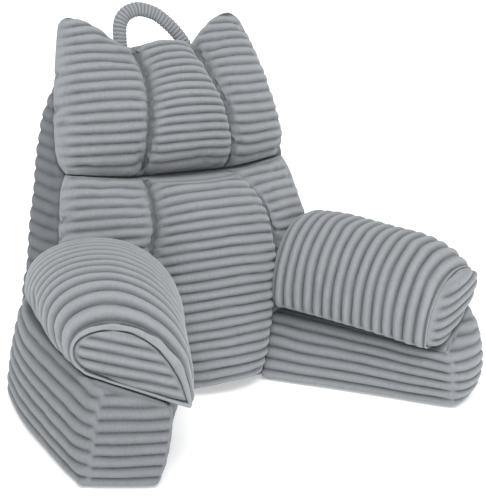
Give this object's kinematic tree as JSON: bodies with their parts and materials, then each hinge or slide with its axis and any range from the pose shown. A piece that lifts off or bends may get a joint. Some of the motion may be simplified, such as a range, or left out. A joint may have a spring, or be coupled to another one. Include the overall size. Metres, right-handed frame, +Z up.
{
  "type": "reading pillow with arms",
  "caption": "Wedge-backed reading pillow in ribbed plush with two padded arms, eared head section and a carry handle.",
  "frame": {"origin": "on the floor at the middle of the pillow's footprint", "axes": "+Z up, -Y towards the sitter's feet, +X to the right of a viewer who looks at the front"},
  "size_m": [0.8156, 0.6408, 0.6871],
  "materials": {
    "ribbed_plush": "soft short pile, ribbed, mid grey",
    "gusset_plush": "soft short pile, ribbed, mid grey in shade",
    "base_plush": "soft short pile, ribbed, mid grey",
    "pad_plush": "soft short pile, ribbed, light grey where the nap lies smooth",
    "handle_plush": "soft short pile gathered into fine cross ribs"
  },
  "bodies": {
    "root": {"back_shell": "gusset_plush", "lumbar_section": "ribbed_plush", "head_section": "ribbed_plush", "carry_handle": "handle_plush", "left_arm_base": "base_plush", "right_arm_base": "base_plush", "left_arm_pad": "pad_plush", "right_arm_pad": "pad_plush", "left_pad_end": "ribbed_plush", "right_pad_end": "ribbed_plush", "left_pad_hem": "pad_plush", "right_pad_hem": "pad_plush"}
  },
  "joints": []
}
